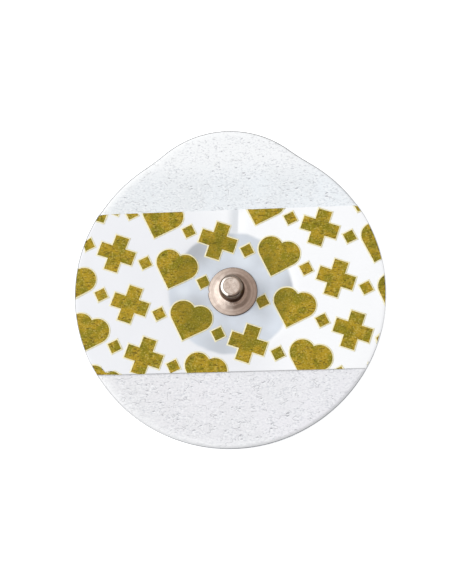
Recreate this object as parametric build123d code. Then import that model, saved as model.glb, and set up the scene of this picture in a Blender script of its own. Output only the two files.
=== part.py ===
from build123d import *
import os
from math import ceil, cos, hypot, radians, sqrt

# Disposable snap electrode for heart monitoring, lying on its release liner.
#
# A die-cut pad of white closed-cell foam has a round body and a shallow pull tab. A well through its
# middle holds a disc of clear gel, and a printed film strip bridges the well from above. In the middle of
# the strip a drawn metal snap stud is riveted onto the post of the sensor eyelet below it, with the film
# trapped between the two. A layer of skin adhesive covers the pad's underside except under the tab, and a
# clear liner, cut a hair larger than the pad, protects adhesive and gel.
#
# Frame: the origin is under the stud's axis, on the surface that the liner lies on. +Z points up through
# the stud, and +Y points to the pull tab. Everything is in millimetres.

# Pad outline, seen from above
BODY_RADIUS = 24.0
BODY_CENTRE_Y = 0.3
TAB_REACH = 2.0  # how far the tab stands out past the body's circle
TAB_RADIUS = 15.6
FLANK_RADIUS = 43.0  # hollow curve between body and tab
PAD_SHIFT_X = -0.6  # the die cuts the pad a little to the left of the stud

# Layers, from the surface up
LINER_THICKNESS = 0.15
LINER_MARGIN = 0.12  # how far the liner stands out all round the pad
ADHESIVE_THICKNESS = 0.06
FOAM_THICKNESS = 1.2
FILM_THICKNESS = 0.1
INK_THICKNESS = 0.04
EDGE_BEVEL_WIDTH = 0.5  # the die pinches the foam's upper edge into a slope
EDGE_BEVEL_DROP = 0.35
ADHESIVE_INSET = 0.2
GRIP_LENGTH = 5.8  # dry end of the tab, with no adhesive under it

# Gel well and the film's recess over it
WELL_RADIUS = 10.0
WELL_GAP = 0.3  # from the gel, or the adhesive, to the well's wall
RECESS_DEPTH = 0.35
RECESS_SLOPE = 2.6  # width of the sloping ring between the well's rim and the recess's floor

# Film strip, which lies across the middle of the body
STRIP_WIDTH = 25.4

# Sensor eyelet
SENSOR_RADIUS = 4.8
SENSOR_THICKNESS = 0.5
SENSOR_CHAMFER = 0.12
POST_RADIUS = 1.3
POST_CHAMFER = 0.3
POST_TIP_GAP = 0.15
POST_HOLE_CLEARANCE = 0.15  # the film's hole round the post
BORE_CLEARANCE = 0.02

# Snap stud, heights counted from the underside of its flange
STUD_WALL = 0.26
FLANGE_RADIUS = 3.8
FLANGE_CHAMFER = 0.1
FLANGE_RISE = 0.08  # the flange climbs this much towards the shoulder
SHOULDER_RADIUS = 2.8
SHOULDER_SLOPE = 0.5
SHOULDER_HEIGHT = 0.5
NECK_FOOT = 0.58
NECK_FLARE = 0.22
NECK_TOP = 1.4
HEAD_RADIUS = 1.95
HEAD_LOW = 1.75
HEAD_HIGH = 2.6
CROWN_RADIUS = 1.72  # the head narrows to this at its crown, before the rounding
CROWN_ROUNDING = 0.6
STUD_HEIGHT = 4.4
DIMPLE_RADIUS = 0.8
DIMPLE_DEPTH = 0.05

# Printed pattern: hearts and plus signs in slanting rows, with a small lozenge between neighbours
ROW_SLANT = -20.0
MOTIF_PITCH = 9.6
ROW_PITCH = 6.9
ROW_STAGGER = 4.8
HEART_SIDE = 3.85
PLUS_LENGTH = 5.7
PLUS_ARM = 2.15
LOZENGE_SIDE = 1.6
PRINT_GAP = 0.1  # between the stud's flange and the ink

# Heights and sizes that follow
FOAM_BASE = LINER_THICKNESS + ADHESIVE_THICKNESS
FOAM_TOP = FOAM_BASE + FOAM_THICKNESS
RECESS_FLOOR = FOAM_TOP - RECESS_DEPTH
STUD_SEAT = RECESS_FLOOR + FILM_THICKNESS
BODY_CENTRE = Vector(PAD_SHIFT_X, BODY_CENTRE_Y)
TAB_CENTRE = BODY_CENTRE + Vector(0, BODY_RADIUS + TAB_REACH - TAB_RADIUS)
BORE_RADIUS = POST_RADIUS + BORE_CLEARANCE
NECK_RADIUS = BORE_RADIUS + STUD_WALL
CLEAR_OF_ALL = 1.0  # how far a cutting tool reaches past what it cuts


def mirrored(point):
    """The same point on the other side of the pad's own centre line."""
    return Vector(2 * PAD_SHIFT_X - point.X, point.Y)


def pad_outline(inset=0.0):
    """The die-cut shape: body arc, two hollow flanks and tab arc, all tangent."""
    span = (TAB_CENTRE - BODY_CENTRE).length
    to_body = BODY_RADIUS + FLANK_RADIUS
    to_tab = TAB_RADIUS + FLANK_RADIUS
    along = (to_body**2 - to_tab**2 + span**2) / (2 * span)
    flank = BODY_CENTRE + Vector(sqrt(to_body**2 - along**2), along)

    lowest = BODY_CENTRE - Vector(0, BODY_RADIUS - inset)
    highest = TAB_CENTRE + Vector(0, TAB_RADIUS - inset)
    body_end = BODY_CENTRE + (flank - BODY_CENTRE).normalized() * (BODY_RADIUS - inset)
    tab_end = TAB_CENTRE + (flank - TAB_CENTRE).normalized() * (TAB_RADIUS - inset)
    waist = flank + ((body_end + tab_end) / 2 - flank).normalized() * (FLANK_RADIUS + inset)
    return make_face(
        [
            ThreePointArc(mirrored(body_end), lowest, body_end),
            ThreePointArc(body_end, waist, tab_end),
            ThreePointArc(tab_end, highest, mirrored(tab_end)),
            ThreePointArc(mirrored(tab_end), mirrored(waist), mirrored(body_end)),
        ]
    )


def strip_outline():
    """The band across the pad that the film covers, before the die cuts its ends."""
    reach = 2 * (BODY_RADIUS + abs(PAD_SHIFT_X) + CLEAR_OF_ALL)
    return Pos(0, BODY_CENTRE.Y) * Rectangle(reach, STRIP_WIDTH)


def slab(face, low, high):
    """A face drawn on XY, raised into a plate between two heights."""
    return extrude(Pos(0, 0, low) * face, high - low)


def turned(*edges):
    """A solid of revolution about the stud's axis, from a profile drawn as (radius, height)."""
    return revolve(Plane.XZ * make_face(edges), Axis.Z)


def through(face):
    """A cutting tool of one outline that reaches from the surface to above the film."""
    return slab(face, 0, FOAM_TOP + CLEAR_OF_ALL)


def bevelled_block(top):
    """The pad's full outline up to a height, with the upper edge sloped."""
    block = slab(pad_outline(), FOAM_BASE, top)
    upper_face = block.faces().sort_by(Axis.Z)[-1]
    return chamfer(upper_face.edges(), EDGE_BEVEL_WIDTH, EDGE_BEVEL_DROP, reference=upper_face)


def recess_tool(lift=0.0):
    """What is missing above the recess over the well: a flat floor and a sloping ring."""
    floor = RECESS_FLOOR + lift
    rim = FOAM_TOP + lift
    above = rim + CLEAR_OF_ALL
    return turned(
        Polyline(
            (0, floor),
            (WELL_RADIUS - RECESS_SLOPE, floor),
            (WELL_RADIUS, rim),
            (WELL_RADIUS, above),
            (0, above),
            close=True,
        )
    )


def under_skin(lift):
    """All that lies below the film's underside, raised by lift."""
    return bevelled_block(FOAM_TOP + lift) - recess_tool(lift)


def release_liner():
    return slab(pad_outline(-LINER_MARGIN), 0, LINER_THICKNESS)


def skin_adhesive():
    grip = Rectangle(2 * BODY_RADIUS, 2 * GRIP_LENGTH)
    tab_tip = TAB_CENTRE + Vector(0, TAB_RADIUS)
    coated = pad_outline(ADHESIVE_INSET) - Pos(tab_tip) * grip - Circle(WELL_RADIUS + WELL_GAP)
    return slab(coated, LINER_THICKNESS, FOAM_BASE)


def foam_pad():
    return bevelled_block(FOAM_TOP) - through(Circle(WELL_RADIUS))


def label_film():
    film = (under_skin(FILM_THICKNESS) - under_skin(0)) & through(strip_outline())
    return film - through(Circle(POST_RADIUS + POST_HOLE_CLEARANCE))


def gel_disc():
    gel = slab(Circle(WELL_RADIUS - WELL_GAP), LINER_THICKNESS, FOAM_TOP)
    return gel - recess_tool() - sensor_eyelet()


def sensor_eyelet():
    """A round foot under the film, with a post that passes through it into the stud."""
    foot = slab(Circle(SENSOR_RADIUS), RECESS_FLOOR - SENSOR_THICKNESS, RECESS_FLOOR)
    foot = chamfer(foot.edges().filter_by(GeomType.CIRCLE), SENSOR_CHAMFER)
    post_top = STUD_SEAT + STUD_HEIGHT - DIMPLE_DEPTH - STUD_WALL - POST_TIP_GAP
    post = slab(Circle(POST_RADIUS), RECESS_FLOOR, post_top)
    return foot + chamfer(post.edges().group_by(Axis.Z)[-1], POST_CHAMFER)


def snap_stud():
    """A shell drawn from sheet metal: flange, raised shoulder, waisted neck and round-topped head."""

    def at(radius, height):
        return (radius, STUD_SEAT + height)

    side = Polyline(
        at(BORE_RADIUS, 0),
        at(FLANGE_RADIUS, 0),
        at(FLANGE_RADIUS, STUD_WALL - FLANGE_CHAMFER),
        at(FLANGE_RADIUS - FLANGE_CHAMFER, STUD_WALL),
        at(SHOULDER_RADIUS, STUD_WALL + FLANGE_RISE),
        at(SHOULDER_RADIUS - SHOULDER_SLOPE, SHOULDER_HEIGHT),
        at(NECK_RADIUS + NECK_FLARE, NECK_FOOT),
        at(NECK_RADIUS, NECK_FOOT + NECK_FLARE),
        at(NECK_RADIUS, NECK_TOP),
        at(HEAD_RADIUS, HEAD_LOW),
        at(HEAD_RADIUS, HEAD_HIGH),
    )
    crown = FilletPolyline(
        at(HEAD_RADIUS, HEAD_HIGH),
        at(CROWN_RADIUS, STUD_HEIGHT),
        at(DIMPLE_RADIUS, STUD_HEIGHT),
        radius=CROWN_ROUNDING,
    )
    dimple_floor = STUD_HEIGHT - DIMPLE_DEPTH
    ceiling = dimple_floor - STUD_WALL
    dimple = TangentArc(at(0, dimple_floor), at(DIMPLE_RADIUS, STUD_HEIGHT), tangent=(1, 0))
    inside = Polyline(
        at(0, dimple_floor),
        at(0, ceiling),
        at(CROWN_RADIUS - CROWN_ROUNDING, ceiling),
        at(CROWN_RADIUS - STUD_WALL, STUD_HEIGHT - CROWN_ROUNDING),
        at(HEAD_RADIUS - STUD_WALL, HEAD_HIGH),
        at(HEAD_RADIUS - STUD_WALL, HEAD_LOW),
        at(BORE_RADIUS, NECK_TOP),
        at(BORE_RADIUS, 0),
    )
    return turned(side, crown, dimple, inside)


def heart():
    """A square on its corner with a half circle on each upper side."""
    lobe = HEART_SIDE / 2
    offset = lobe * cos(radians(45))
    lobes = [Pos(side * offset, offset) * Circle(lobe) for side in (-1, 1)]
    return Rot(0, 0, 45) * Rectangle(HEART_SIDE, HEART_SIDE) + lobes


def plus():
    return Rectangle(PLUS_LENGTH, PLUS_ARM) + Rectangle(PLUS_ARM, PLUS_LENGTH)


def lozenge():
    return Rot(0, 0, 45) * Rectangle(LOZENGE_SIDE, LOZENGE_SIDE)


def print_pattern():
    """Slanting rows of motifs, enough of them to cover the strip from corner to corner."""
    reach = hypot(BODY_RADIUS + abs(PAD_SHIFT_X), STRIP_WIDTH / 2 + abs(BODY_CENTRE_Y)) + MOTIF_PITCH
    rows = ceil(reach / ROW_PITCH)
    columns = ceil((reach + rows * ROW_STAGGER) / MOTIF_PITCH)
    motifs = {0: plus(), 1: heart()}
    between = Pos(MOTIF_PITCH / 2, 0) * lozenge()
    pattern = []
    for row in range(-rows, rows + 1):
        for column in range(-columns, columns + 1):
            site = Pos(column * MOTIF_PITCH + row * ROW_STAGGER, row * ROW_PITCH)
            slanted = Rot(0, 0, ROW_SLANT) * site
            pattern.append(slanted * motifs[(column + row) % 2])
            pattern.append(slanted * between)
    return pattern


def label_print():
    """The ink: a thin skin on the film, in the shape of each motif that lies on the strip."""
    skin = under_skin(FILM_THICKNESS + INK_THICKNESS) - under_skin(FILM_THICKNESS)
    printable = (pad_outline() & strip_outline()) - Circle(FLANGE_RADIUS + PRINT_GAP)
    shapes = [face for motif in print_pattern() for face in (motif & printable).faces()]
    return Compound(children=[patch for shape in shapes for patch in (skin & through(shape)).solids()])


PIECES = {
    "release_liner": release_liner,
    "skin_adhesive": skin_adhesive,
    "foam_pad": foam_pad,
    "gel_disc": gel_disc,
    "sensor_eyelet": sensor_eyelet,
    "label_film": label_film,
    "label_print": label_print,
    "snap_stud": snap_stud,
}

os.makedirs("parts", exist_ok=True)
for name, make in PIECES.items():
    export_step(make(), f"parts/{name}.step")
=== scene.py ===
from math import atan2, ceil, cos, exp, hypot, pi, radians, sin, sqrt, tan

import bmesh
import bpy
from mathutils import Matrix, Vector, noise


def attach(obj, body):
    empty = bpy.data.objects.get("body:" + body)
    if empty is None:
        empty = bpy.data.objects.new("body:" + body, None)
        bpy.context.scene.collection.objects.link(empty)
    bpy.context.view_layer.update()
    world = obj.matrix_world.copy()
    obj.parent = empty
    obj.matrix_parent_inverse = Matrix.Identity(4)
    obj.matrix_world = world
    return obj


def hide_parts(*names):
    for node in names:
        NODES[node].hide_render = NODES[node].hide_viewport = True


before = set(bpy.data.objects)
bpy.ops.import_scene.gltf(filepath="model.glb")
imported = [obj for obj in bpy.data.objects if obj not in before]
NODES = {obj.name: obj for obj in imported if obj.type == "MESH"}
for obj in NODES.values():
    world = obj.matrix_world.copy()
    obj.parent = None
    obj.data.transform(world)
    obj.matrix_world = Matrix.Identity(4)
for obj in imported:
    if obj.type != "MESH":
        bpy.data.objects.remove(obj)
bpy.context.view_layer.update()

MM = 0.001

# Sizes of the solids, in millimetres
BODY_RADIUS = 24.0
BODY_CENTRE = Vector((-0.6, 0.3))
TAB_RADIUS = 15.6
TAB_REACH = 2.0
TAB_OFFSET = BODY_RADIUS + TAB_REACH - TAB_RADIUS
TAB_CENTRE = BODY_CENTRE + Vector((0, TAB_OFFSET))
FLANK_RADIUS = 43.0
LINER_THICKNESS = 0.15
LINER_MARGIN = 0.12
FOAM_BASE = 0.21
FOAM_TOP = 1.41
BEVEL_WIDTH = 0.5
BEVEL_DROP = 0.35
WELL_RADIUS = 10.0
RECESS_DEPTH = 0.35
RECESS_SLOPE = 2.6
RECESS_FLOOR = 1.06
GEL_GAP = 0.3
FILM_THICKNESS = 0.1
STRIP_LOW = -12.4
STRIP_HIGH = 13.0
POST_HOLE_RADIUS = 1.45
SENSOR_RADIUS = 4.8
SENSOR_BASE = 0.56
STUD_SEAT = 1.16
STUD_HEIGHT = 4.4
FLANGE_RADIUS = 3.8
BORE_RADIUS = 1.32
NECK_RADIUS = 1.58
HEAD_RADIUS = 1.95
CAVITY_RADIUS = 1.69
CAVITY_TOP = 4.09
CROWN_ROUNDING = 0.6
CROWN_BASE = STUD_SEAT + STUD_HEIGHT - CROWN_ROUNDING

# Sizes that only the looks have, in millimetres
SLOPE_WIDTH = 2.0
SLOPE_DROP = 0.07
HELD_REACH = 0.6
DISH_FLOOR_RADIUS = WELL_RADIUS - RECESS_SLOPE - 0.4
DISH_RIM_RADIUS = WELL_RADIUS + 0.5
WAVE_HEIGHT = 0.05
FILM_WAVE = 5.0
FOAM_WAVE = 6.0
PLEAT_HEIGHT = 0.018
PLEAT_RADIUS = 6.2
PLEAT_WIDTH = 1.8
FOLD_PLACE = 0.5
FOLD_LEAN = 0.05
FOLD_WIDTH = 0.9
FOLD_DEPTH = 0.1
LOW_EDGE_LIFT = 0.06
CUT_WIDTH = 0.13
INK_BORDER = 0.2
INK_LIFT = 0.02
INK_THICKNESS = 0.03
STUD_WEAR = 0.012
NICK_ANGLE = radians(179)
NICK_SPREAD = 0.045
NICK_DEPTH = 0.16
# Hairs that keep the faces of touching pieces apart
FACE_GAP = 0.005
STUD_LIFT = 0.004
FLOOR_GAP = 0.03

# Fineness of the meshes
RIM_COUNT = 480
LIP_ROWS = 8
SLOPE_STEPS = 16
TOP_STEPS = 40
FILM_ROW = 0.22
FILM_COLUMNS = 220
INK_CUTS_PER_MM = 3


def smooth(value, low, high):
    """0 below low, 1 above high and a soft step between."""
    t = min(1.0, max(0.0, (value - low) / (high - low)))
    return t * t * (3 - 2 * t)


def wobble(x, y, size, seed):
    """Smooth noise about 0, with lumps of roughly that size in millimetres."""
    return noise.noise(Vector((x / size, y / size, seed)))


# Shapes


def flank_centre():
    """Centre of the hollow arc between body and tab, seen from the body's centre."""
    to_body = BODY_RADIUS + FLANK_RADIUS
    to_tab = TAB_RADIUS + FLANK_RADIUS
    along = (to_body**2 - to_tab**2 + TAB_OFFSET**2) / (2 * TAB_OFFSET)
    return Vector((sqrt(to_body**2 - along**2), along))


FLANK = flank_centre()


def rim_distance(angle, inset):
    """From the body's centre to the die-cut outline, moved inwards by inset."""
    ray = Vector((abs(cos(angle)), sin(angle)))
    tab_centre = Vector((0, TAB_OFFSET))
    tab_end = tab_centre + (FLANK - tab_centre).normalized() * (TAB_RADIUS - inset)
    slope = atan2(ray.y, ray.x)
    if slope <= atan2(FLANK.y, FLANK.x):
        return BODY_RADIUS - inset
    if slope >= atan2(tab_end.y, tab_end.x):
        return TAB_OFFSET * ray.y + sqrt((TAB_RADIUS - inset) ** 2 - (TAB_OFFSET * ray.x) ** 2)
    reach = FLANK.dot(ray)
    return reach - sqrt(reach**2 - FLANK.length_squared + (FLANK_RADIUS + inset) ** 2)


def rim_point(angle, inset):
    return BODY_CENTRE + Vector((cos(angle), sin(angle))) * rim_distance(angle, inset)


def turns(count):
    """Angles all round, evenly spaced."""
    return [2 * pi * i / count for i in range(count)]


def body_inset(x, y):
    """How far a point lies inside the body's circle."""
    return BODY_RADIUS - (Vector((x, y)) - BODY_CENTRE).length


def edge_drop(inset, y):
    """How far the pinched edge lies below the pad's top: less where the film holds the foam up."""
    corner = 1 - min(1.0, max(0.0, inset / BEVEL_WIDTH))
    slow = 1 - min(1.0, max(0.0, inset / SLOPE_WIDTH))
    held = smooth(y, STRIP_LOW - HELD_REACH, STRIP_LOW)
    held *= 1 - smooth(y, STRIP_HIGH, STRIP_HIGH + HELD_REACH)
    pinch = (BEVEL_DROP - SLOPE_DROP) * corner**2.2 * (1 - 0.75 * held)
    return pinch + SLOPE_DROP * slow**2 * (1 - 0.6 * held)


def film_top(x, y):
    """Height of the printed film's upper face."""
    radius = hypot(x, y)
    inset = body_inset(x, y)
    height = FOAM_TOP + FILM_THICKNESS - edge_drop(inset, y)
    # The dish over the gel
    height -= RECESS_DEPTH * (1 - smooth(radius, DISH_FLOOR_RADIUS, DISH_RIM_RADIUS))
    # Waves, and pleats that run out from the stud
    away = smooth(radius, 4.2, 6.5) * smooth(inset, 0.4, 2.0)
    height += WAVE_HEIGHT * wobble(x, y, FILM_WAVE, seed=3.1) * away
    angle = atan2(y, x)
    pleats = 0.5 * sin(3 * angle + 0.8) + 0.5 * sin(7 * angle + 2.0)
    height += PLEAT_HEIGHT * pleats * exp(-((radius - PLEAT_RADIUS) / PLEAT_WIDTH) ** 2) * away
    # The fold from the dish to the strip's upper edge
    valley = exp(-(((x - FOLD_PLACE - FOLD_LEAN * y) / FOLD_WIDTH) ** 2))
    height -= FOLD_DEPTH * valley * smooth(y, 8.2, 10.0) * (1 - smooth(y, 12.0, 13.2))
    # The lower edge stands off the foam a little
    low_edge = 1 - smooth(y, STRIP_LOW, STRIP_LOW + 0.7)
    return height + LOW_EDGE_LIFT * low_edge * smooth(inset, 0.8, 3.0)


def foam_top(x, y, inset):
    """Height of the foam: flat under the film, and lumpy outside it."""
    soft = smooth(inset, 0.3, 2.5)
    outside = max(smooth(y, STRIP_HIGH, STRIP_HIGH + 1.5), 1 - smooth(y, STRIP_LOW - 1.5, STRIP_LOW))
    lumps = WAVE_HEIGHT * wobble(x, y, FOAM_WAVE, seed=1.7)
    return FOAM_TOP - edge_drop(inset, y) + lumps * soft * outside


def link(name, mesh, looks):
    """An object with that mesh and those materials, which rides on the part."""
    piece = bpy.data.objects.new(name, mesh)
    bpy.context.scene.collection.objects.link(piece)
    for look in looks:
        mesh.materials.append(look)
    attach(piece, "root")
    return piece


def build(name, points, faces, looks, crease=30.0):
    """A piece from points in millimetres, smooth but for edges sharper than crease."""
    mesh = bpy.data.meshes.new(name)
    mesh.from_pydata([Vector(p) * MM for p in points], [], faces)
    work = bmesh.new()
    work.from_mesh(mesh)
    bmesh.ops.recalc_face_normals(work, faces=work.faces)
    for face in work.faces:
        face.smooth = True
    for edge in work.edges:
        edge.smooth = edge.calc_face_angle(0.0) < radians(crease)
    work.to_mesh(mesh)
    work.free()
    return link(name, mesh, looks)


def loop_faces(rings, count, closed=False):
    """Quads between neighbouring rings of count points each."""
    faces = []
    for low in range(rings if closed else rings - 1):
        high = (low + 1) % rings
        for i in range(count):
            j = (i + 1) % count
            faces.append((low * count + i, low * count + j, high * count + j, high * count + i))
    return faces


def lathe(name, profile, looks, count=128, crease=30.0, shape=None):
    """A turned piece. The profile is a closed loop, and it may touch the axis."""
    points = []
    rows = []
    for radius, height in profile:
        if radius == 0:
            rows.append([len(points)] * count)
            points.append((0, 0, height))
            continue
        rows.append(list(range(len(points), len(points) + count)))
        for angle in turns(count):
            r, z = (radius, height) if shape is None else shape(radius, height, angle)
            points.append((r * cos(angle), r * sin(angle), z))
    faces = []
    for low, high in zip(rows, rows[1:] + rows[:1]):
        for i in range(count):
            j = (i + 1) % count
            corners = list(dict.fromkeys((low[i], low[j], high[j], high[i])))
            if len(corners) > 2:
                faces.append(corners)
    return build(name, points, faces, looks, crease)


def rounded(corners, steps):
    """A profile from (radius, height, rounding) corners."""
    path = []
    for index, (radius, height, rounding) in enumerate(corners):
        here = Vector((radius, height))
        if rounding == 0:
            path.append(tuple(here))
            continue
        back = (Vector(corners[index - 1][:2]) - here).normalized()
        ahead = (Vector(corners[index + 1][:2]) - here).normalized()
        half = back.angle(ahead) / 2
        centre = here + (back + ahead).normalized() * rounding / sin(half)
        start = (here + back * rounding / tan(half) - centre).normalized()
        end = (here + ahead * rounding / tan(half) - centre).normalized()
        path += [tuple(centre + start.slerp(end, s / steps) * rounding) for s in range(steps + 1)]
    return path


# Materials


class Paint:
    """Node graph of one material or world."""

    def __init__(self, owner):
        owner.use_nodes = True
        self.tree = owner.node_tree
        self.tree.nodes.clear()

    def add(self, kind, inputs=None, **settings):
        made = self.tree.nodes.new(kind)
        for name, value in settings.items():
            setattr(made, name, value)
        for name, value in (inputs or {}).items():
            self.put(made.inputs[name], value)
        return made

    def put(self, socket, value):
        if isinstance(value, bpy.types.NodeSocket):
            self.tree.links.new(value, socket)
        else:
            socket.default_value = value

    def math(self, operation, first, second=0.0, clamp=False):
        made = self.add("ShaderNodeMath", {0: first, 1: second}, operation=operation, use_clamp=clamp)
        return made.outputs[0]

    def times(self, first, *others):
        """Product of two or more values."""
        for other in others:
            first = self.math("MULTIPLY", first, other)
        return first

    def vector(self, operation, first, second):
        return self.add("ShaderNodeVectorMath", {0: first, 1: second}, operation=operation)

    def scaled(self, where, factors):
        return self.vector("MULTIPLY", where, factors).outputs[0]

    def shifted(self, where, step):
        return self.vector("ADD", where, step).outputs[0]

    def distance(self, where, point=(0, 0, 0)):
        return self.vector("DISTANCE", where, point).outputs["Value"]

    def xyz(self, where):
        return self.add("ShaderNodeSeparateXYZ", {0: where}).outputs

    def ramp(self, value, low, high, start=0.0, end=1.0, kind="SMOOTHSTEP"):
        inputs = {"Value": value, "From Min": low, "From Max": high, "To Min": start, "To Max": end}
        return self.add("ShaderNodeMapRange", inputs, interpolation_type=kind).outputs["Result"]

    def mix(self, share, first, second):
        made = self.add("ShaderNodeMix", data_type="RGBA")
        for socket, value in ((made.inputs[0], share), (made.inputs[6], first), (made.inputs[7], second)):
            self.put(socket, value)
        return made.outputs[2]

    def place(self):
        """Position on the object in millimetres."""
        where = self.add("ShaderNodeTexCoord").outputs["Object"]
        return self.scaled(where, (1 / MM, 1 / MM, 1 / MM))

    def grain(self, where, size, detail=2.0, roughness=0.5, distortion=0.0):
        """Noise from 0 to 1 with grains of about that size in millimetres."""
        inputs = {
            "Vector": where,
            "Scale": 1 / size,
            "Detail": detail,
            "Roughness": roughness,
            "Distortion": distortion,
        }
        return self.add("ShaderNodeTexNoise", inputs).outputs[0]

    def bump(self, height, depth):
        """Relief of that depth in millimetres."""
        return self.add("ShaderNodeBump", {"Height": height, "Distance": depth * MM}).outputs[0]

    def direct(self):
        """1 for rays that come straight from the camera or through something clear."""
        rays = self.add("ShaderNodeLightPath").outputs
        return self.math("ADD", rays["Is Camera Ray"], rays["Is Transmission Ray"], clamp=True)

    def glossy(self):
        return self.add("ShaderNodeLightPath").outputs["Is Glossy Ray"]

    def surface(self, **inputs):
        shader = self.add("ShaderNodeBsdfPrincipled", {n.replace("_", " "): v for n, v in inputs.items()})
        self.add("ShaderNodeOutputMaterial", {"Surface": shader.outputs[0]})


def srgb(red, green, blue):
    """A colour as it is read off a screen, 0 to 255."""
    def linear(c):
        c /= 255
        return c / 12.92 if c <= 0.04045 else ((c + 0.055) / 1.055) ** 2.4
    return (linear(red), linear(green), linear(blue), 1.0)


def material(name):
    made = bpy.data.materials.new(name)
    return made, Paint(made)


def foam_look():
    """White closed-cell foam: a fine grain, pits and broken creases with painted shade in them and a
    painted highlight beside them, and a border brightened by painted light.
    """
    made, paint = material("foam_look")
    where = paint.place()
    flat = paint.scaled(where, (1, 1, 0))
    x, y = paint.xyz(where)[:2]
    # Painted light: the foam is lighter towards the right and towards the top
    low_end = paint.mix(paint.ramp(x, -20, 20), srgb(236, 234, 236), srgb(242, 240, 244))
    high_end = paint.mix(paint.ramp(x, -20, 20), srgb(236, 239, 241), srgb(241, 245, 248))
    base = paint.mix(paint.ramp(y, -16, 16), low_end, high_end)
    patchy = paint.grain(where, 6.0, 3.0)
    base = paint.mix(paint.ramp(patchy, 0.35, 0.7, 0.0, 0.35), base, srgb(229, 230, 230))
    # Painted light: the tab's end is lighter
    base = paint.mix(paint.ramp(y, 16.5, 22.5, 0.0, 0.85), base, srgb(252, 252, 252))
    # The border catches the light, most at the upper left
    in_body = paint.math("SUBTRACT", BODY_RADIUS, paint.distance(flat, (*BODY_CENTRE, 0)))
    in_tab = paint.math("SUBTRACT", TAB_RADIUS, paint.distance(flat, (*TAB_CENTRE, 0)))
    border = paint.times(
        paint.ramp(paint.math("MAXIMUM", in_body, in_tab), 0.3, 1.7, 0.8, 0.0),
        paint.ramp(x, -4.0, 14.0, 1.0, 0.2),
        paint.ramp(y, -20.0, -4.0, 0.5, 1.0),
    )

    def pits(shift):
        """Short pits, longer across the pad than along it, each in its own cell."""
        moved = paint.shifted(where, (0, shift, 0))
        bends = paint.add("ShaderNodeTexNoise", {"Vector": moved, "Scale": 1.6, "Detail": 1.0}).outputs
        bent = paint.shifted(moved, paint.scaled(bends["Color"], (0.5, 0.5, 0.5)))
        wide = paint.scaled(bent, (0.5, 1.0, 1.0))
        cells = paint.add("ShaderNodeTexVoronoi", {"Vector": wide, "Scale": 1.7, "Randomness": 1.0}).outputs
        chance = paint.add("ShaderNodeSeparateColor", {0: cells["Color"]}).outputs[0]
        reach = paint.ramp(chance, 0.25, 1.0, 0.1, 0.3, "LINEAR")
        return paint.ramp(paint.math("SUBTRACT", reach, cells["Distance"]), 0.0, 0.16)

    # Each pit, and a copy moved a little along the pad that gives the painted highlight beside it
    pit = pits(0.0)
    lip_painted_light = paint.math("SUBTRACT", pits(0.14), pit, clamp=True)
    grainy = paint.scaled(where, (0.6, 1.0, 1.0))
    fine = paint.grain(grainy, 0.24, 2.0, 0.6)
    rough = paint.ramp(paint.grain(where, 1.5, 2.0), 0.36, 0.62, 0.3, 1.0)
    base = paint.mix(paint.times(paint.ramp(fine, 0.34, 0.5, 0.7, 0.0), rough), base, srgb(206, 208, 213))
    base = paint.mix(paint.times(paint.ramp(fine, 0.5, 0.66, 0.0, 0.75), rough), base, srgb(252, 252, 253))

    def creases(shift):
        """Thin lines that run mostly across the pad."""
        moved = paint.shifted(grainy, (0, shift, 0))
        line = paint.math("ABSOLUTE", paint.math("SUBTRACT", paint.grain(moved, 0.9, 1.0), 0.5))
        return paint.ramp(line, 0.0, 0.018, 1.0, 0.0)

    dense = paint.ramp(y, -10.0, 10.0, 0.49, 0.55)
    broken = paint.ramp(paint.math("SUBTRACT", paint.grain(where, 0.8, 1.0), dense), 0.0, 0.08)
    crease = paint.times(creases(0.0), broken)
    crease_highlight = paint.times(paint.math("SUBTRACT", creases(0.15), creases(0.0), clamp=True), broken)
    # Painted shade in each crease and a painted highlight beside it
    base = paint.mix(paint.times(crease, 0.42), base, srgb(172, 173, 178))
    base = paint.mix(paint.times(crease_highlight, 0.7), base, srgb(254, 254, 255))
    # Painted shade in each pit and a painted highlight beside it
    base = paint.mix(paint.times(pit, 0.62), base, srgb(160, 161, 167))
    base = paint.mix(lip_painted_light, base, srgb(254, 254, 255))
    base = paint.mix(border, base, srgb(254, 254, 254))
    relief = paint.math("SUBTRACT", fine, paint.math("ADD", pit, crease))
    paint.surface(
        Base_Color=base,
        Roughness=paint.ramp(fine, 0.2, 0.8, 0.5, 0.65),
        Normal=paint.bump(relief, 0.04),
    )
    return made


def cut_edge_look():
    """Foam and film where the die has cut through them, with a hair of grey on the pinched edge: painted
    darker at the upper left, where the lamp lights it most, and paler at the lower right, which lies in
    shade.
    """
    made, paint = material("cut_edge_look")
    where = paint.place()
    fine = paint.grain(where, 0.3, 2.0, 0.6)
    base = paint.mix(paint.ramp(fine, 0.3, 0.7), srgb(218, 219, 221), srgb(234, 235, 237))
    x, y, height = paint.xyz(where)
    # Painted light and shade: the grey is darker at the upper left, where the lamp lights the edge most,
    # and paler at the lower right, which lies in shade
    around = paint.ramp(paint.math("SUBTRACT", y, paint.times(x, 0.6)), -16, 28, kind="LINEAR")
    lip_painted_light = paint.mix(around, srgb(236, 236, 237), srgb(140, 140, 141))
    base = paint.mix(paint.ramp(height, FOAM_TOP - BEVEL_DROP - 0.06, FOAM_TOP - BEVEL_DROP), base, lip_painted_light)
    paint.surface(
        Base_Color=base,
        Roughness=paint.ramp(fine, 0.3, 0.7, 0.5, 0.65),
        Normal=paint.bump(fine, 0.02),
    )
    return made


# Where the film looks darkest, partly where it lies closest to the wet gel and partly painted shade on the
# dish's walls: x, y, reach and share
WET_AND_SHADED_PATCHES = (
    (-5.6, 6.6, 4.6, 0.95),
    (9.2, 0.4, 3.6, 1.0),
    (-5.6, -1.8, 2.6, 0.75),
    (-1.5, -8.6, 5.0, 0.45),
    (-0.8, 8.8, 2.2, 0.7),
)
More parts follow.
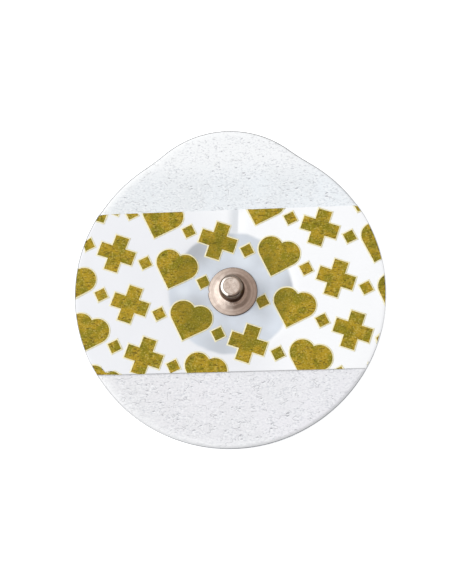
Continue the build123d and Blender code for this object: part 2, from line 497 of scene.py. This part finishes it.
# Where it looks palest, partly where it stands off the gel and partly painted light on the dish's walls
DRY_AND_LIT_PATCHES = ((6.4, -2.0, 2.4, 0.8), (1.8, 4.8, 2.4, 0.6), (-7.9, 0.4, 1.8, 0.8))
TINT_CENTRE = (-0.3, -0.2, 0)
SPECK = (-4.25, 8.75, 0)


def film_look():
    """White satin film, lighter towards the upper right as painted light, tinted by the gel below it and by
    painted shade and light over the dish, with the fold's painted shade and shine, a painted shadow along
    its lower edge, and one speck.
    """
    made, paint = material("film_look")
    where = paint.place()
    flat = paint.scaled(where, (1, 1, 0))
    x, y = paint.xyz(where)[:2]
    # Painted light: the film is lighter towards the right and towards the top
    slant = paint.math("ADD", x, paint.times(y, 0.4))
    base = paint.mix(paint.ramp(slant, -5.0, 7.0), srgb(240, 240, 243), srgb(253, 253, 254))

    # The tint over the gel, with an uneven edge, and the patches of painted shade and light
    cloudy = paint.ramp(paint.grain(flat, 4.5, 2.0, 0.5, 0.4), 0.3, 0.7)
    tint = paint.mix(cloudy, srgb(211, 216, 223), srgb(221, 227, 236))
    for patches, tone in ((WET_AND_SHADED_PATCHES, srgb(184, 187, 192)), (DRY_AND_LIT_PATCHES, srgb(236, 242, 249))):
        for *centre, reach, share in patches:
            away = paint.distance(flat, (*centre, 0))
            tint = paint.mix(paint.ramp(away, 0.0, reach, share, 0.0), tint, tone)
    uneven = paint.ramp(paint.grain(flat, 3.0, 2.0), 0.2, 0.8, -0.2, 0.2, "LINEAR")
    gel_edge = paint.math("ADD", paint.distance(flat, TINT_CENTRE), uneven)
    base = paint.mix(paint.ramp(gel_edge, 9.2, 9.85, 1.0, 0.0), base, tint)

    # The fold: shaded to its left, shining to its right
    aside = paint.math("SUBTRACT", x, paint.times(y, FOLD_LEAN))
    above = paint.ramp(y, 8.9, 9.7)
    shade = paint.times(
        paint.ramp(aside, FOLD_PLACE - 2.1, FOLD_PLACE - 0.5),
        paint.ramp(aside, FOLD_PLACE + 0.15, FOLD_PLACE - 0.15, 0.0, 0.85),
        above,
    )
    base = paint.mix(shade, base, srgb(224, 227, 231))
    shine = paint.times(
        paint.ramp(aside, FOLD_PLACE, FOLD_PLACE + 0.3),
        paint.ramp(aside, FOLD_PLACE + 2.6, FOLD_PLACE + 1.4, 0.0, 0.8),
        above,
    )
    base = paint.mix(shine, base, srgb(254, 254, 255))

    # Painted shadow: a grey hair along the strip's lower edge, which stands off the foam
    low_edge = paint.ramp(y, STRIP_LOW + 0.02, STRIP_LOW + 0.12, 0.7, 0.0)
    base = paint.mix(low_edge, base, srgb(150, 150, 150))
    base = paint.mix(paint.ramp(paint.distance(flat, SPECK), 0.07, 0.15, 0.85, 0.0), base, srgb(70, 60, 60))
    fine = paint.grain(where, 0.5, 3.0)
    paint.surface(
        Base_Color=base,
        Roughness=paint.ramp(fine, 0.3, 0.7, 0.3, 0.42),
        Normal=paint.bump(fine, 0.012),
    )
    return made


def ink_look():
    """Ochre gold ink, mottled and drawn out across the strip."""
    made, paint = material("ink_look")
    where = paint.place()
    radius = paint.distance(paint.scaled(where, (1, 1, 0)))
    speckle = paint.grain(where, 0.24, 2.0, 0.7)
    drawn = paint.grain(paint.scaled(where, (0.35, 1.0, 1.0)), 0.2, 2.0, 0.6, 0.6)
    warmth = paint.ramp(paint.grain(where, 1.8, 2.0, 0.6), 0.36, 0.62)
    base = paint.mix(warmth, srgb(136, 124, 4), srgb(178, 146, 26))
    base = paint.mix(paint.ramp(drawn, 0.34, 0.5, 0.85, 0.0), base, srgb(96, 80, 0))
    base = paint.mix(paint.ramp(speckle, 0.52, 0.66, 0.0, 0.6), base, srgb(208, 186, 92))
    base = paint.mix(paint.ramp(radius, 8.6, 9.6, 0.35, 0.0), base, srgb(112, 104, 12))
    paint.surface(
        Base_Color=base,
        Roughness=paint.ramp(speckle, 0.3, 0.7, 0.6, 0.45),
        Specular_IOR_Level=0.3,
        Normal=paint.bump(speckle, 0.008),
    )
    return made


def ink_edge_look():
    """The pale bleed round each printed shape."""
    made, paint = material("ink_edge_look")
    fine = paint.grain(paint.place(), 0.3)
    base = paint.mix(paint.ramp(fine, 0.3, 0.7), srgb(241, 231, 188), srgb(247, 240, 206))
    paint.surface(Base_Color=base, Roughness=0.4, Normal=paint.bump(fine, 0.008))
    return made


def stud_look():
    """Warm nickel plate: turning lines, a lighter crown whose rim is a painted reflection, dark and bright,
    and stains. Tarnish and painted shade darken the neck and head.
    """
    made, paint = material("stud_look")
    where = paint.place()
    radius = paint.distance(paint.scaled(where, (1, 1, 0)))
    x, _, height = paint.xyz(where)
    turning = paint.add("ShaderNodeCombineXYZ", {0: radius, 1: height}).outputs[0]
    lines = paint.grain(turning, 0.1, 2.0, 0.6)
    mottle = paint.grain(where, 0.6, 3.0, 0.6)

    flange = paint.mix(paint.ramp(lines, 0.35, 0.65), srgb(196, 178, 164), srgb(216, 200, 188))
    blotch = paint.ramp(paint.grain(where, 0.55, 3.0, 0.6), 0.46, 0.62, 0.0, 0.4)
    flange = paint.mix(blotch, flange, srgb(184, 164, 152))
    # The crown is lighter than the flange, and its flat top a little lighter towards the edge as painted
    # light, inside a rim that is a painted reflection, dark at the left and bright at the right
    top = paint.mix(paint.ramp(mottle, 0.35, 0.65), srgb(224, 209, 197), srgb(244, 231, 219))
    top = paint.mix(paint.ramp(radius, 0.75, 1.05), top, srgb(238, 226, 214))
    rim = paint.times(paint.ramp(radius, 1.06, 1.13), paint.ramp(radius, 1.28, 1.21))
    top = paint.mix(paint.times(rim, paint.ramp(x, 0.7, -0.3, 0.0, 0.6)), top, srgb(150, 134, 124))
    top = paint.mix(paint.times(rim, paint.ramp(x, 0.2, 0.9, 0.0, 0.8)), top, srgb(252, 244, 236))
    crown = paint.ramp(height, CROWN_BASE, CROWN_BASE + 0.3)
    base = paint.mix(crown, flange, top)
    stain = paint.ramp(paint.grain(where, 0.35, 2.0, 0.7), 0.66, 0.74, 0.0, 0.5)
    base = paint.mix(stain, base, srgb(150, 128, 112))

    # Tarnish round the neck and head, partly real in the neck's hollow and partly painted shade where the
    # head's side reflects dark, thinner in a ring below the crown that is a painted highlight, and a
    # painted shade line on the flange's edge
    head = paint.times(
        paint.ramp(height, STUD_SEAT + 0.56, STUD_SEAT + 0.7),
        paint.ramp(height, CROWN_BASE + 0.4, CROWN_BASE + 0.5, 1.0, 0.0),
        paint.math("LESS_THAN", radius, 2.2),
    )
    ring = paint.times(
        paint.ramp(height, CROWN_BASE - 0.5, CROWN_BASE - 0.4),
        paint.ramp(height, CROWN_BASE - 0.12, CROWN_BASE - 0.22),
    )
    tarnish_and_painted_shade = paint.times(head, paint.math("SUBTRACT", 0.76, paint.times(ring, 0.4)))
    base = paint.mix(tarnish_and_painted_shade, base, srgb(84, 68, 60))
    # Painted shade: a dark line round the flange's edge
    edge = paint.times(
        paint.ramp(radius, FLANGE_RADIUS - 0.08, FLANGE_RADIUS - 0.01),
        paint.ramp(height, STUD_SEAT + 0.24, STUD_SEAT + 0.18),
        0.8,
    )
    base = paint.mix(edge, base, srgb(84, 66, 56))
    relief = paint.math("ADD", paint.times(lines, 0.5), paint.times(mottle, crown))
    polish = paint.ramp(mottle, 0.3, 0.7, 0.13, 0.19)
    matt_foot = paint.ramp(radius, HEAD_RADIUS, 2.3, 0.0, 0.16)
    paint.surface(
        Base_Color=base,
        Metallic=1.0,
        Specular_Tint=srgb(176, 168, 162),
        Roughness=paint.math("ADD", polish, matt_foot),
        Normal=paint.bump(relief, 0.006),
    )
    return made


def grained_look(name, size, tones, rough, depth, **more):
    """A surface between two tones, with soft grains of that size in colour, gloss and relief."""
    made, paint = material(name)
    grains = paint.grain(paint.place(), size)
    paint.surface(
        Base_Color=paint.mix(paint.ramp(grains, 0.3, 0.7), *tones),
        Roughness=paint.ramp(grains, 0.3, 0.7, *rough),
        Normal=paint.bump(grains, depth),
        **more,
    )
    return made


def gel_look():
    """Wet clear gel, pale blue-grey."""
    tones = (srgb(196, 212, 226), srgb(214, 226, 236))
    return grained_look("gel_look", 1.6, tones, (0.06, 0.14), 0.03, Transmission_Weight=0.85, IOR=1.4)


def liner_look():
    """Clear sheet with a faint haze."""
    tones = (srgb(236, 240, 243), srgb(244, 246, 248))
    return grained_look("liner_look", 3.0, tones, (0.08, 0.2), 0.02, Transmission_Weight=0.9, IOR=1.5)


def liner_edge_look():
    """The sheet's cut edge, in grey."""
    tones = (srgb(188, 189, 191), srgb(204, 205, 207))
    return grained_look("liner_edge_look", 1.0, tones, (0.3, 0.45), 0.01)


def sensor_look():
    """Dull grey coat with darker clouds."""
    made, paint = material("sensor_look")
    where = paint.place()
    fine = paint.grain(where, 0.25, 3.0, 0.6)
    broad = paint.grain(where, 1.5, 2.0)
    base = paint.mix(paint.ramp(fine, 0.35, 0.65), srgb(126, 124, 124), srgb(158, 156, 154))
    base = paint.mix(paint.ramp(broad, 0.4, 0.7, 0.0, 0.5), base, srgb(112, 106, 104))
    paint.surface(
        Base_Color=base,
        Metallic=0.3,
        Roughness=paint.ramp(fine, 0.3, 0.7, 0.5, 0.7),
        Normal=paint.bump(fine, 0.02),
    )
    return made


def adhesive_look():
    """Pale tacky layer, coated in streaks."""
    made, paint = material("adhesive_look")
    coat = paint.grain(paint.scaled(paint.place(), (0.4, 2.0, 1.0)), 2.2, 3.0, 0.55, 0.5)
    paint.surface(
        Base_Color=paint.mix(paint.ramp(coat, 0.3, 0.7), srgb(236, 236, 230), srgb(243, 243, 240)),
        Roughness=paint.ramp(coat, 0.3, 0.7, 0.12, 0.28),
        Normal=paint.bump(coat, 0.02),
    )
    return made


# Pieces


def foam_piece():
    """Closed ring of foam: underside, cut wall, pinched edge, top and the wall of the well."""
    angles = turns(RIM_COUNT)
    base = FOAM_BASE + FACE_GAP
    well = [Vector((cos(a), sin(a))) * WELL_RADIUS for a in angles]
    rings = [[(*p, base) for p in well]]
    wall = ((0.02, base), (0.0, base + 0.02), (0.015, (base + FOAM_TOP - BEVEL_DROP) / 2))
    for inset, height in wall:
        rings.append([(*rim_point(a, inset), height) for a in angles])
    for step in range(SLOPE_STEPS + 1):
        inset = SLOPE_WIDTH * (step / SLOPE_STEPS) ** 2
        ring = [rim_point(a, inset) for a in angles]
        rings.append([(*p, foam_top(p.x, p.y, inset)) for p in ring])
    for step in range(1, TOP_STEPS + 1):
        share = step / TOP_STEPS
        ring = [rim_point(a, SLOPE_WIDTH).lerp(w, share) for a, w in zip(angles, well)]
        inset = SLOPE_WIDTH + WELL_RADIUS * share
        rings.append([(*p, foam_top(p.x, p.y, inset)) for p in ring])
    points = [p for ring in rings for p in ring]
    looks = [foam_look(), cut_edge_look()]
    faces = loop_faces(len(rings), RIM_COUNT, closed=True)
    piece = build("foam_body", points, faces, looks, crease=60)
    # The cut wall and the first rows of the pinched edge
    for face in piece.data.polygons:
        if 1 <= face.index // RIM_COUNT <= LIP_ROWS:
            face.material_index = 1
    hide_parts("foam_pad")
    return piece


def film_piece():
    """The printed strip: rows across the pad between its die-cut ends, with a hole for the post."""
    rows = ceil((STRIP_HIGH - STRIP_LOW) / FILM_ROW)
    columns = FILM_COLUMNS
    # The columns stand closer together towards the ends
    spread = pi / 2 * 0.7
    tops = []
    for row in range(rows + 1):
        y = STRIP_LOW + (STRIP_HIGH - STRIP_LOW) * row / rows
        half = sqrt(BODY_RADIUS**2 - (y - BODY_CENTRE.y) ** 2)
        for column in range(columns + 1):
            side = (2 * min(columns - 1, max(1, column)) - columns) / (columns - 2)
            reach = half if column in (0, columns) else half - CUT_WIDTH
            x = BODY_CENTRE.x + reach * sin(side * spread) / sin(spread)
            tops.append((x, y, film_top(x, y)))
    wide = columns + 1
    total = len(tops)
    faces = []
    for row in range(rows):
        for column in range(columns):
            a = row * wide + column
            quad = (a, a + 1, a + wide + 1, a + wide)
            centre = sum((Vector(tops[i]) for i in quad), Vector()) / 4
            if hypot(centre.x, centre.y) > POST_HOLE_RADIUS:
                faces.append(quad)
    used = {(quad[i], quad[(i + 1) % 4]) for quad in faces for i in range(4)}
    rims = [(quad[i], quad[(i + 1) % 4]) for quad in faces for i in range(4)]
    rims = [(a, b) for a, b in rims if (b, a) not in used]
    under = [tuple(i + total for i in reversed(quad)) for quad in faces]
    sides = [(b, a, a + total, b + total) for a, b in rims]
    points = tops + [(x, y, z - FILM_THICKNESS) for x, y, z in tops]
    looks = [film_look(), cut_edge_look()]
    piece = build("film_sheet", points, faces + under + sides, looks, crease=60)
    for face in piece.data.polygons:
        if body_inset(*face.center.xy / MM) < CUT_WIDTH * 0.6:
            face.material_index = 1
    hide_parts("label_film")
    return piece


def spread_ink(work, width):
    """Adds a pale border of that width outside each flat shape."""
    rim = [e for e in work.edges if e.is_boundary]
    outward = {}
    for edge in rim:
        a, b = (v.co for v in edge.verts)
        normal = Vector((b.y - a.y, a.x - b.x, 0)).normalized()
        if normal.dot((a + b) / 2 - edge.link_faces[0].calc_center_median()) < 0:
            normal.negate()
        for vertex in edge.verts:
            outward.setdefault(tuple(vertex.co), []).append(normal)
    made = bmesh.ops.extrude_edge_only(work, edges=rim)["geom"]
    for face in (g for g in made if isinstance(g, bmesh.types.BMFace)):
        face.material_index = 1
    # A corner moves further than a straight edge, so that the border keeps its width
    for vertex in (g for g in made if isinstance(g, bmesh.types.BMVert)):
        normals = outward[tuple(vertex.co)]
        total = sum(normals, Vector())
        vertex.co += total * (len(normals) * width / max(0.5, total.length_squared))


def keep_on_film(flat):
    """The nearest place inside the strip's edges and outside the stud's flange."""
    flat.y = min(STRIP_HIGH - 0.01, max(STRIP_LOW + 0.01, flat.y))
    away = flat - BODY_CENTRE
    if away.length > BODY_RADIUS - CUT_WIDTH:
        flat = BODY_CENTRE + away.normalized() * (BODY_RADIUS - CUT_WIDTH)
    if flat.length < FLANGE_RADIUS + 0.02:
        flat = flat.normalized() * (FLANGE_RADIUS + 0.02)
    return flat


def ink_piece():
    """The solids' printed shapes, with a pale bleed round each, draped over the film."""
    work = bmesh.new()
    work.from_mesh(NODES["label_print"].data)
    hidden = [f for f in work.faces if f.normal.z < 0.5]
    bmesh.ops.delete(work, geom=hidden, context="FACES")
    for vertex in work.verts:
        vertex.co = Vector((vertex.co.x / MM, vertex.co.y / MM, 0))
    bmesh.ops.remove_doubles(work, verts=work.verts, dist=0.002)
    bmesh.ops.dissolve_limit(work, angle_limit=radians(1), verts=work.verts, edges=work.edges)
    spread_ink(work, INK_BORDER)
    for vertex in work.verts:
        vertex.co.xy = keep_on_film(vertex.co.xy)
    # A grid of cuts, fine enough to follow the film's shape
    for normal, reach in ((Vector((1, 0, 0)), 25), (Vector((0, 1, 0)), 14)):
        for step in range(-INK_CUTS_PER_MM * reach, INK_CUTS_PER_MM * reach + 1):
            geometry = work.verts[:] + work.edges[:] + work.faces[:]
            place = normal * step / INK_CUTS_PER_MM
            bmesh.ops.bisect_plane(work, geom=geometry, plane_co=place, plane_no=normal)
    bmesh.ops.triangulate(work, faces=work.faces)
    for face in work.faces:
        face.smooth = True
        if face.normal.z < 0:
            face.normal_flip()
    # Over the film, and twice as far where it bends down at its ends
    for vertex in work.verts:
        x, y = vertex.co.xy
        lift = INK_LIFT + INK_LIFT * (1 - smooth(body_inset(x, y), 0.1, 1.0))
        vertex.co = Vector((x, y, film_top(x, y) + lift)) * MM
    work.normal_update()
    bmesh.ops.solidify(work, geom=work.faces[:], thickness=INK_THICKNESS * MM)
    bmesh.ops.recalc_face_normals(work, faces=work.faces)
    mesh = bpy.data.meshes.new("ink_print")
    work.to_mesh(mesh)
    work.free()
    piece = link("ink_print", mesh, [ink_look(), ink_edge_look()])
    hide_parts("label_print")
    return piece


def stud_piece():
    """The drawn stud, with its shell's inside, a nick in the flange's edge and a slightly uneven crown."""
    outside = [
        (BORE_RADIUS, 0, 0),
        (FLANGE_RADIUS, 0, 0.03),
        (FLANGE_RADIUS, 0.16, 0.04),
        (3.7, 0.25, 0.06),
        (2.8, 0.34, 1.2),
        (2.3, 0.5, 1.2),
        (1.8, 0.58, 0.06),
        (NECK_RADIUS, 0.8, 0.1),
        (NECK_RADIUS, 1.4, 0.15),
        (HEAD_RADIUS, 1.75, 0.12),
        (HEAD_RADIUS, 2.6, 0.8),
        (1.72, STUD_HEIGHT, CROWN_ROUNDING),
        (0.9, STUD_HEIGHT - 0.012, 0.2),
        (0, STUD_HEIGHT - 0.02, 0),
    ]
    inside = [
        (0, CAVITY_TOP - STUD_LIFT),
        (1.12, CAVITY_TOP),
        (1.46, 3.8),
        (CAVITY_RADIUS, 2.6),
        (CAVITY_RADIUS, 1.75),
        (BORE_RADIUS, 1.4),
    ]

    def worn(radius, height, angle):
        """Uneven all over but for the foot, which lies flat, and nicked in the flange's edge."""
        above = height - STUD_SEAT
        rise = 0.0
        if above > 0.2:
            place = Vector((radius * cos(angle), radius * sin(angle), above))
            rise = STUD_WEAR * noise.noise(place * 1.6)
        if radius > FLANGE_RADIUS - 0.2:
            radius -= NICK_DEPTH * exp(-(((angle - NICK_ANGLE) / NICK_SPREAD) ** 2))
        return radius, height + rise

    profile = [(r, z + STUD_SEAT + STUD_LIFT) for r, z in rounded(outside, steps=8) + inside]
    piece = lathe("stud_shell", profile, [stud_look()], count=256, crease=40, shape=worn)
    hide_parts("snap_stud")
    return piece


def gel_piece():
    """The gel in its well, with a seat for the sensor in its top."""
    base = LINER_THICKNESS + FACE_GAP
    seat = SENSOR_RADIUS + 0.02
    seat_floor = SENSOR_BASE - 0.02
    floor = RECESS_FLOOR - 0.05
    profile = [
        (0, base),
        (WELL_RADIUS - GEL_GAP, base),
        (WELL_RADIUS - GEL_GAP, FOAM_TOP - 0.06),
        (DISH_FLOOR_RADIUS, floor),
        (seat, floor),
        (seat, seat_floor),
        (0, seat_floor),
    ]
    piece = lathe("gel_pad", profile, [gel_look()])
    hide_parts("gel_disc")
    return piece


def liner_piece():
    """A clear sheet whose cut edge, just outside the pad, is grey."""
    top = LINER_THICKNESS - FACE_GAP
    edge = [rim_point(a, -LINER_MARGIN) for a in turns(RIM_COUNT)]
    inner = [rim_point(a, 0.02) for a in turns(RIM_COUNT)]
    points = [(*p, 0.0) for p in inner + edge] + [(*p, top) for p in edge + inner]
    sheets = [tuple(range(RIM_COUNT)), tuple(range(3 * RIM_COUNT, 4 * RIM_COUNT))]
    faces = loop_faces(4, RIM_COUNT) + sheets
    piece = build("liner_sheet", points, faces, [liner_look(), liner_edge_look()])
    for face in piece.data.polygons:
        if len(face.vertices) == 4:
            face.material_index = 1
    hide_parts("release_liner")
    return piece


def dress(node, look):
    """Gives a solid that is kept its procedural material."""
    slots = NODES[node].data.materials
    slots.clear()
    slots.append(look)


foam_piece()
film_piece()
ink_piece()
stud_piece()
gel_piece()
liner_piece()
dress("skin_adhesive", adhesive_look())
dress("sensor_eyelet", sensor_look())


# Surroundings

WHITE = (1, 1, 1, 1)


def floor():
    """A pale table that keeps the shadow and is white to the camera."""
    made, paint = material("floor_look")
    # Painted reflection: bright metal sees the table darker and warmer than it is
    shade = paint.mix(paint.glossy(), (0.86, 0.86, 0.86, 1), (0.6, 0.57, 0.55, 1))
    matt = paint.add("ShaderNodeBsdfDiffuse", {"Color": shade})
    glow = paint.add("ShaderNodeEmission", {"Color": WHITE, "Strength": paint.times(paint.direct(), 0.55)})
    both = paint.add("ShaderNodeAddShader", {0: matt.outputs[0], 1: glow.outputs[0]})
    paint.add("ShaderNodeOutputMaterial", {"Surface": both.outputs[0]})
    mesh = bpy.data.meshes.new("floor")
    reach = 1.5
    corners = [(-reach, -reach, 0), (reach, -reach, 0), (reach, reach, 0), (-reach, reach, 0)]
    mesh.from_pydata(corners, [], [(0, 1, 2, 3)])
    mesh.materials.append(made)
    plane = bpy.data.objects.new("floor", mesh)
    plane.location.z = -FLOOR_GAP * MM
    bpy.context.scene.collection.objects.link(plane)


def sky():
    """An even pale room for matt surfaces, white to the camera. Bright metal sees its parts: a window at
    the left, a warm dim side at the right, and dark walls beyond the tab and below the strip."""
    world = bpy.data.worlds.new("room")
    bpy.context.scene.world = world
    paint = Paint(world)
    x, y, z = paint.xyz(paint.add("ShaderNodeTexCoord").outputs["Generated"])
    parts = paint.mix(paint.ramp(x, 0.044, -0.272), (0.56, 0.48, 0.44, 1), (1.3, 1.34, 1.38, 1))
    leftward = paint.math("ADD", paint.times(x, 0.97), paint.times(y, 0.25))
    window = paint.times(paint.ramp(leftward, -0.12, -0.4), paint.ramp(y, -0.4, 0.1, 0.2, 1.0))
    parts = paint.mix(window, parts, (2.1, 2.16, 2.22, 1))
    parts = paint.mix(paint.ramp(x, 0.12, 0.75), parts, (0.24, 0.2, 0.18, 1))
    far = paint.times(paint.ramp(z, 0.86, 0.6), paint.ramp(y, 0.25, 0.45), paint.ramp(x, -0.5, -0.25))
    parts = paint.mix(far, parts, (0.24, 0.2, 0.18, 1))
    rightward = paint.math("ADD", x, paint.times(y, -0.4))
    near = paint.times(paint.ramp(y, -0.06, -0.24), paint.ramp(rightward, -0.16, -0.03))
    dark = paint.mix(paint.ramp(z, 0.5, 0.8), (0.06, 0.045, 0.04, 1), (0.26, 0.21, 0.19, 1))
    parts = paint.mix(near, parts, dark)
    parts = paint.mix(paint.ramp(z, 0.4, 0.26), parts, (0.14, 0.11, 0.1, 1))
    horizon = paint.times(paint.ramp(z, 0.16, 0.06), paint.ramp(y, -0.7, -0.4))
    parts = paint.mix(horizon, parts, (0.55, 0.5, 0.47, 1))
    parts = paint.mix(paint.ramp(x, 0.72, 0.88), parts, (0.36, 0.31, 0.28, 1))
    colour = paint.mix(paint.glossy(), (0.69, 0.7, 0.71, 1), parts)
    colour = paint.mix(paint.direct(), colour, WHITE)
    shader = paint.add("ShaderNodeBackground", {"Color": colour, "Strength": 1.0})
    paint.add("ShaderNodeOutputWorld", {"Surface": shader.outputs[0]})


def lamp(name, way, distance, size, level):
    """An area lamp that lights a face turned to it to level, where 1 shows a colour as written. Bright
    metal doesn't see it, because the room's window stands for it there."""
    data = bpy.data.lights.new(name, "AREA")
    data.size = size
    data.energy = level * (pi * distance) ** 2
    made = bpy.data.objects.new(name, data)
    toward = Vector(way).normalized()
    made.location = toward * distance
    made.visible_glossy = False
    made.rotation_mode = "QUATERNION"
    made.rotation_quaternion = toward.to_track_quat("Z", "Y")
    bpy.context.scene.collection.objects.link(made)


def camera():
    """The view fitted to the pad's outline: nearly from above, from the lower right."""
    tilt, turn, roll = radians(12.0), radians(16.0), radians(1.1)
    distance = 135 * MM
    picture_height = 584
    back = Vector((sin(turn) * sin(tilt), -cos(turn) * sin(tilt), cos(tilt)))
    upright = Vector((sin(roll), cos(roll), 0))
    upright = (upright - back * upright.dot(back)).normalized()
    right = upright.cross(back)
    data = bpy.data.cameras.new("camera")
    data.sensor_width = 36
    data.lens = 53.6
    data.shift_x = -7.25 / picture_height
    data.shift_y = 1.23 / picture_height
    data.clip_start = 0.005
    data.clip_end = 10
    made = bpy.data.objects.new("camera", data)
    turned = Matrix((right, upright, back)).transposed().to_4x4()
    made.matrix_world = Matrix.Translation(back * distance) @ turned
    bpy.context.scene.collection.objects.link(made)
    bpy.context.scene.camera = made


floor()
sky()
lamp("key", way=(-0.74, 0.2, 0.62), distance=4.0, size=1.8, level=0.5)
camera()
bpy.context.scene.view_settings.view_transform = "Standard"
